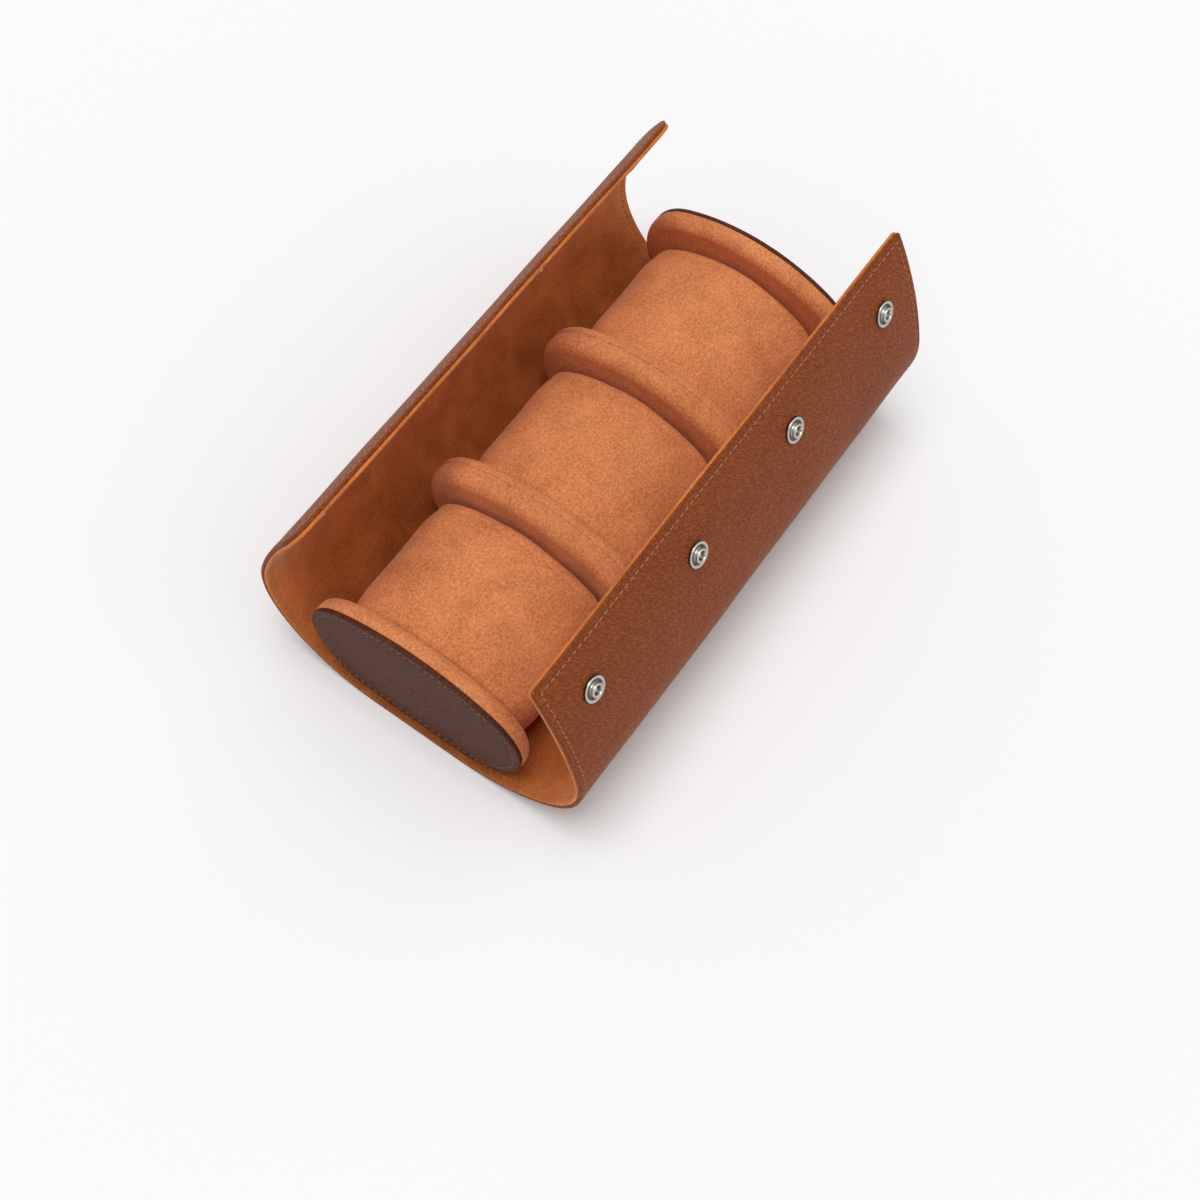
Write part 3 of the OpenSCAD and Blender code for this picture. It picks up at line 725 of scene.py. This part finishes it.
def pad_points(points, centre_z, swell, dents, seams):
    """Cushion points with the swell of the fabric, the dents of the padding and the gathers of the
    seams, all across the x direction except the swell. Dents and gathers fade out within
    CALM_RADIUS of the middle."""
    out = follow(points, swell)
    away = out * [0, 1, 1] - [0, 0, centre_z]
    reach = np.linalg.norm(away, axis=1, keepdims=True)
    away = away / np.maximum(reach, 1e-6) * np.clip(reach / CALM_RADIUS, 0, 1)
    amount = unevenness(points, dents)
    for seam_x in seams:
        amount = amount - puckers(points, seam_x)
    return out + away * amount[:, None]


def box_mm(node):
    """Lowest and highest corner of a node of the frame, in millimetres."""
    low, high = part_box(node)
    return np.array(low) * 1000, np.array(high) * 1000


def seam(x, deep=1.0):
    """Profile points of a sewn seam round a cushion: two rolls of padding meet in a narrow dip."""
    return [(x + dx, deep * inset, 1.0) for dx, inset in
            ((-3.0, 0.0), (-2.0, 0.16), (-1.2, 0.45), (-0.6, 0.78), (-0.2, 1.0), (0.2, 1.0),
             (0.6, 0.78), (1.2, 0.45), (2.0, 0.16), (3.0, 0.0))]


def quarter(x0, inset0, x1, inset1, n=8):
    """Profile points of a quarter ellipse from (x0, inset0), where it runs along x, to its end."""
    a = np.linspace(0, np.pi / 2, n)
    return [(x0 + (x1 - x0) * math.sin(t), inset0 + (inset1 - inset0) * (1 - math.cos(t)), 1.0)
            for t in a]


def domed(x, out, inset):
    """Profile points of a padded face from its rim at x to its middle at x + out: what it stands
    out grows as one less the 2.4th power of the share of full size. A negative out sinks it."""
    return [(x + out * (1 - share ** 2.4), inset, share) for share in
            (0.97, 0.92, 0.84, 0.72, 0.55, 0.35, 0.15, 0.03)]


panel_low, panel_high = box_mm("divider_1_cover")
PANEL_LOW_R, PANEL_HIGH_R = 32.5, 27.0
PANEL = (float(panel_high[1] - panel_low[1]) / 2, float(panel_high[2] - panel_low[2]),
         PANEL_LOW_R, PANEL_HIGH_R)
PANEL_Z = float(panel_low[2])
PANEL_MID = PANEL_Z + PANEL[1] / 2
cushion_suede = suede("cushion_suede", (0.42, 0.128, 0.038), (0.90, 0.345, 0.140), True, 0.3)


# Dividers: two suede faces and a band over foam on a board, sewn across the wrap. The seam runs
# round the band, off its middle. The faces turn over in a full round rim and sink a little inside.
BAND_INSET = 0.45
DIVIDER_SEAM = 0.9
SEAM_CLEAR = 5.0
RIM_PROUD = 0.4
DIVIDER_RIM_LONG, DIVIDER_RIM_HIGH = 5.2, 5.6
DIVIDER_SUNK, DIVIDER_DENTS = 0.7, 0.16
divider_half = float(panel_high[0] - panel_low[0]) / 2


def divider_side(side):
    """Profile of one half of a divider, from its band to the middle of its face."""
    lip = divider_half + RIM_PROUD
    half_profile = (quarter(lip - DIVIDER_RIM_LONG, BAND_INSET, lip, DIVIDER_RIM_HIGH, 12)
                    + domed(lip, -DIVIDER_SUNK, DIVIDER_RIM_HIGH))
    return [(side * x, inset, share) for x, inset, share in half_profile]


divider_seam = [(x, inset + BAND_INSET, share) for x, inset, share in seam(DIVIDER_SEAM, 0.55)
                if abs(x) < divider_half - SEAM_CLEAR]
divider_profile = divider_side(-1)[::-1] + divider_seam + divider_side(1)
divider_form, divider_faces = form(PANEL, PANEL_Z, divider_profile)
divider_swell = swell_of(divider_form, divider_faces, 1.3, 0.4)
divider_form = pad_points(divider_form, PANEL_MID, divider_swell, DIVIDER_DENTS, [DIVIDER_SEAM])
for number in (1, 2):
    low, high = box_mm(f"divider_{number}_cover")
    pad = put_mesh(f"divider_{number}", divider_form + [float(low[0] + high[0]) / 2, 0, 0],
                   divider_faces, cushion_suede)
    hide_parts(f"divider_{number}_cover", f"divider_{number}_core")
    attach(pad, "base")


# End panels: the same cushion, thinner, with a leather face on its outside. The leather is turned
# over the edge of its board, and a row of stitches runs round it.
pad_low, pad_high = box_mm("far_panel_pad")
face_low, face_high = box_mm("far_panel_face")
PAD_IN, PAD_OUT = float(pad_low[0]), float(pad_high[0])
FACE_IN, FACE_OUT = float(face_low[0]), float(face_high[0])
END_RIM = 5.0
END_SUNK, END_DENTS = 0.8, 0.14
END_SEAM = 4.6
FACE_GAP = 0.05
FACE_RIM = 0.75
FACE_TURN = 0.8
FACE_STITCH_ROW = 3.4

lip = PAD_IN - RIM_PROUD
end_profile = ([(2 * lip - x, inset, share) for x, inset, share in
                domed(lip, -END_SUNK, END_RIM)[::-1]]
               + [(2 * lip + END_RIM - x, inset, share) for x, inset, share in
                  quarter(lip, BAND_INSET, lip + END_RIM, END_RIM, 12)[::-1]]
               + quarter(PAD_OUT - 1.6, BAND_INSET, PAD_OUT - 0.6, 1.6)
               + [(PAD_OUT - 0.3, 2.2, 1.0), (PAD_OUT - 0.2, 3.0, 0.7), (PAD_OUT - 0.2, 3.0, 0.35),
                  (PAD_OUT - 0.2, 3.0, 0.05)])
end_form, end_faces = form(PANEL, PANEL_Z, end_profile)
end_swell = swell_of(end_form, end_faces, 1.0, 0.35)
end_form = pad_points(end_form, PANEL_MID, end_swell, END_DENTS, [PAD_IN + END_SEAM])
end_form[:, 0] = np.minimum(end_form[:, 0], FACE_IN - FACE_GAP)

face_profile = ([(FACE_IN, 4.0, 0.05), (FACE_IN, 4.0, 0.5), (FACE_IN, 4.0, 1.0),
                 (FACE_IN - FACE_TURN, FACE_RIM + 1.4, 1.0),
                 (FACE_IN - FACE_TURN, FACE_RIM + 0.3, 1.0),
                 (FACE_IN - FACE_TURN + 0.3, FACE_RIM, 1.0),
                 (FACE_OUT - 0.5, FACE_RIM - 0.1, 1.0)]
                + quarter(FACE_OUT - 0.5, FACE_RIM - 0.1, FACE_OUT + 0.1, FACE_RIM + 0.8, 6)
                + [(FACE_OUT + 0.05, FACE_STITCH_ROW - 0.7, 1.0),
                   (FACE_OUT - 0.14, FACE_STITCH_ROW, 1.0),
                   (FACE_OUT + 0.05, FACE_STITCH_ROW + 0.8, 1.0)]
                + domed(FACE_OUT + 0.1, 0.45, FACE_STITCH_ROW + 1.2))
face_form, face_faces = form(PANEL, PANEL_Z, face_profile, step=1.0)
# The face is the tan leather made much darker: a little of that is the face's own tone, most of it
# is painted shade of an upright face turned away from the lamps.
dark_leather = leather("dark_leather", (0.058, 0.017, 0.008), (0.135, 0.042, 0.023), 0.45, 0.08,
                       mapped=False)
brown_thread = thread("brown_thread", (0.24, 0.115, 0.075))


def round_rim(size, z0, inset):
    """Stitch centres (y, z) round the leather face, evenly spaced along its outline drawn in by
    inset, and places just ahead of them."""
    y, z = outline(size, z0, np.array([inset]))
    y, z = np.append(y[0], y[0, 0]), np.append(z[0], z[0, 0])
    run = np.concatenate([[0], np.cumsum(np.hypot(np.diff(y), np.diff(z)))])
    count = int(run[-1] / STITCH_PITCH)
    centre = (np.arange(count) + 0.5) * run[-1] / count
    return [np.interp(centre + step, run, values) for step in (0, 0.4) for values in (y, z)]


for end, side in (("near", -1), ("far", 1)):
    pad_faces, cover_faces = [[quads[:, ::-1] for quads in faces] if side < 0 else faces
                              for faces in (end_faces, face_faces)]
    pad = put_mesh(f"{end}_panel", end_form * [side, 1, 1], pad_faces, cushion_suede)
    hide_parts(f"{end}_panel_pad", f"{end}_panel_core")
    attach(pad, "base")
    cover = put_mesh(f"{end}_face", face_form * [side, 1, 1], cover_faces, dark_leather)
    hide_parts(f"{end}_panel_face")
    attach(cover, "base")
    y, z, y_next, z_next = round_rim(PANEL, PANEL_Z, FACE_STITCH_ROW)
    out = np.full_like(y, side * (FACE_OUT - 0.04))
    row = sew(f"{end}_face_stitches", np.stack([out, y, z], axis=1),
              np.stack([0 * y, y_next - y, z_next - z], axis=1),
              np.stack([0 * y + side, 0 * y, 0 * y], axis=1), brown_thread)
    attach(row, "base")


# Pillows: foam blocks in a suede cover, sewn from a wide sleeve and two end faces. They are held
# only by the panels beside them.
PILLOW_LOW_R, PILLOW_HIGH_R = 24.0, 21.0
PILLOW_RIM_BACK = 1.3
PILLOW_SEAM, PILLOW_SEAM_DEEP = 6.0, 0.6
PILLOW_RIM_LONG, PILLOW_RIM_HIGH = 3.6, 5.0
PILLOW_FULL, PILLOW_DENTS = 0.7, 0.3
pillow_low, pillow_high = box_mm("pillow_2_cover")
half_long = float(pillow_high[0] - pillow_low[0]) / 2
PILLOW = (float(pillow_high[1] - pillow_low[1]) / 2, float(pillow_high[2] - pillow_low[2]),
          PILLOW_LOW_R, PILLOW_HIGH_R)
lip = half_long - PILLOW_RIM_BACK
# The last points of the seam are left out, because the rim's rounding starts there.
pillow_seam = [(x, inset + 0.6, share) for x, inset, share in
               seam(half_long - PILLOW_SEAM, PILLOW_SEAM_DEEP)[:7]]
pillow_side = ([(lip - 16, 0.0, 1.0), (lip - 12, 0.1, 1.0)] + pillow_seam
               + quarter(lip - PILLOW_RIM_LONG, 1.1, lip, PILLOW_RIM_HIGH, 10)
               + domed(lip, PILLOW_FULL, PILLOW_RIM_HIGH))
pillow_profile = [(-x, inset, share) for x, inset, share in pillow_side[::-1]] + pillow_side
pillow_form, pillow_faces = form(PILLOW, float(pillow_low[2]), pillow_profile, step=0.8)
pillow_swell = swell_of(pillow_form, pillow_faces, 1.0, 0.6)
pillow_mid = float(pillow_low[2]) + PILLOW[1] / 2
pillow_form = pad_points(pillow_form, pillow_mid, pillow_swell, PILLOW_DENTS,
                         [half_long - PILLOW_SEAM, PILLOW_SEAM - half_long])
for number in (1, 2, 3):
    low, high = box_mm(f"pillow_{number}_cover")
    pillow = put_mesh(f"pillow_{number}", pillow_form + [float(low[0] + high[0]) / 2, 0, 0],
                      pillow_faces, cushion_suede)
    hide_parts(f"pillow_{number}_cover", f"pillow_{number}_core")
    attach(pillow, f"pillow_{number}")


# Snaps: pressed and rolled from brass and nickel-plated. A stud has a rolled rim, a groove, a boss
# and the rivet in it; a socket has a rolled rim and a deep hole. Their posts stay inside the wrap.
# Each profile goes from the middle to the foot as (radius, height above the sheet).
SNAP_PITCH = 66.7
SNAP_COUNT = 4
SNAP_PROUD = 0.05
LATHE_SIDES = 48
# Heights in metres of the snaps' painted shade: darkest below the first, gone above the second.
GROOVE_DARK, RIM_BRIGHT = 0.00062, 0.00112
STUD = [(0, 1.45), (0.5, 1.4), (0.95, 1.15), (1.2, 0.8), (1.35, 0.55), (1.75, 0.6), (1.9, 1.2),
        (2.0, 2.0), (2.2, 2.4), (2.5, 2.52), (2.82, 2.4), (3.0, 2.0), (3.04, 1.2), (3.2, 0.72),
        (3.6, 0.55), (4.05, 0.6), (4.3, 0.85), (4.6, 1.12), (4.95, 1.2), (5.3, 1.05), (5.48, 0.7),
        (5.5, 0.3), (5.4, -0.3), (3.0, -0.4)]
SOCKET = [(0, 0.25), (2.2, 0.3), (3.1, 0.35), (3.38, 0.8), (3.4, 1.4), (3.5, 1.9), (3.75, 2.2),
          (4.05, 2.1), (4.3, 1.7), (4.45, 1.2), (4.7, 1.0), (5.0, 1.05), (5.25, 0.95),
          (5.45, 0.6), (5.5, 0.25), (5.4, -0.3), (3.0, -0.4)]


def nickel(name):
    """Nickel plate with random wear, and painted shade in the grooves and the hole: low down it is
    darker and rougher, on the raised rims it keeps the full plate colour. The map's second number
    is the height of the point in its snap, in metres, and the plate brightens between two such
    heights."""
    made = bpy.data.materials.new(name)
    tree, add = node_tree(made)
    place = add("ShaderNodeTexCoord").outputs["Object"]
    wear = add("ShaderNodeTexNoise", {"Vector": place, "Scale": 700, "Detail": 4})
    mapped = add("ShaderNodeUVMap", uv_map="UVMap").outputs[0]
    height = add("ShaderNodeSeparateXYZ", {"Vector": mapped})
    raised = add("ShaderNodeMapRange", {"Value": height.outputs["Y"], "From Min": GROOVE_DARK,
                                        "From Max": RIM_BRIGHT})
    both = add("ShaderNodeMath", {0: wear.outputs["Fac"], 1: 0.5, 2: raised.outputs[0]},
               operation="MULTIPLY_ADD")
    factor = add("ShaderNodeMapRange", {"Value": both.outputs[0], "From Min": 0.15,
                                        "From Max": 1.1})
    # Painted shade: dark low in the grooves and the hole, full plate colour on the raised rims,
    # with random wear.
    colour = mix_colour(add, factor.outputs[0], (0.04, 0.036, 0.032), (0.50, 0.48, 0.44))
    rough = add("ShaderNodeMapRange", {"Value": factor.outputs[0], "To Min": 0.42,
                                       "To Max": 0.16})
    bump = add("ShaderNodeBump", {"Height": wear.outputs["Fac"], "Strength": 0.2,
                                  "Distance": 0.00015})
    shader = add("ShaderNodeBsdfPrincipled", {"Base Color": colour, "Metallic": 1.0,
                                              "Roughness": rough.outputs[0],
                                              "Normal": bump.outputs[0]})
    add("ShaderNodeOutputMaterial", {"Surface": shader.outputs[0]})
    return made


def lathe(name, profile, feet, aside, ahead, outward, material):
    """Turned parts, one at each foot: the profile (radius, height) is carried round outward, which
    points away from the sheet; aside and ahead lie in it. The first point is the tip, where a fan
    closes each part, and one flat face closes its foot."""
    radius, height = np.array(profile[1:], float).T
    turn = np.radians(np.arange(LATHE_SIDES) * 360 / LATHE_SIDES)
    ring = ((radius[:, None] * np.cos(turn))[..., None] * aside
            + (radius[:, None] * np.sin(turn))[..., None] * ahead
            + height[:, None, None] * outward)
    points = np.asarray(feet)[:, None, None, :] + ring
    uv = np.stack([radius[:, None] + 0 * turn, height[:, None] + 0 * turn], axis=-1)
    uv = np.broadcast_to(uv, (len(feet),) + uv.shape).reshape(-1, 2)
    tips = np.asarray(feet) + profile[0][1] * outward
    per = len(radius) * LATHE_SIDES
    base = np.arange(len(feet))[:, None, None] * per
    row = base + np.arange(len(radius) - 1)[None, :, None] * LATHE_SIDES
    spot, after = np.arange(LATHE_SIDES), (np.arange(LATHE_SIDES) + 1) % LATHE_SIDES
    quads = np.stack([row + spot, row + LATHE_SIDES + spot, row + LATHE_SIDES + after,
                      row + after], axis=-1).reshape(-1, 4)
    tip = len(feet) * per + np.arange(len(feet))[:, None]
    fan = np.stack([tip + 0 * spot, base[:, 0] + spot, base[:, 0] + after], axis=-1).reshape(-1, 3)
    bottom = base[:, 0] + per - LATHE_SIDES + spot[::-1]
    return put_mesh(name, np.concatenate([points.reshape(-1, 3), tips]), [quads, fan, bottom],
                    material, np.concatenate([uv, np.tile(profile[0], (len(feet), 1))]),
                    sharp=math.pi)


plate = nickel("nickel_plate")
snap_x = (np.arange(SNAP_COUNT) - (SNAP_COUNT - 1) / 2) * SNAP_PITCH
for flap, edge, profile, node in ((FRONT, STUD_EDGE, STUD, "snap_studs"),
                                  (BACK, SOCKET_EDGE, SOCKET, "snap_sockets")):
    row = path_end(flap) - edge
    on_leather = flap["side"] < 0
    heading = float(section(flap, row)[2])
    out = np.array([0, flap["side"] * math.sin(heading), -math.cos(heading)])
    if not on_leather:
        out = -out
    aside = np.array([1.0, 0, 0])
    feet = on_wrap(flap, snap_x, np.full(SNAP_COUNT, row), WRAP_THICK if on_leather else 0.0)
    made = lathe(f"{node}_plated", profile, feet + SNAP_PROUD * out, aside, np.cross(out, aside),
                 out, plate)
    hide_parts(node)
    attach(made, "front_flap" if on_leather else "back_flap")

# The posts keep their own shape and get the same plate.
for node in ("stud_posts", "socket_posts"):
    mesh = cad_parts[node].data
    mesh.materials.clear()
    mesh.materials.append(plate)
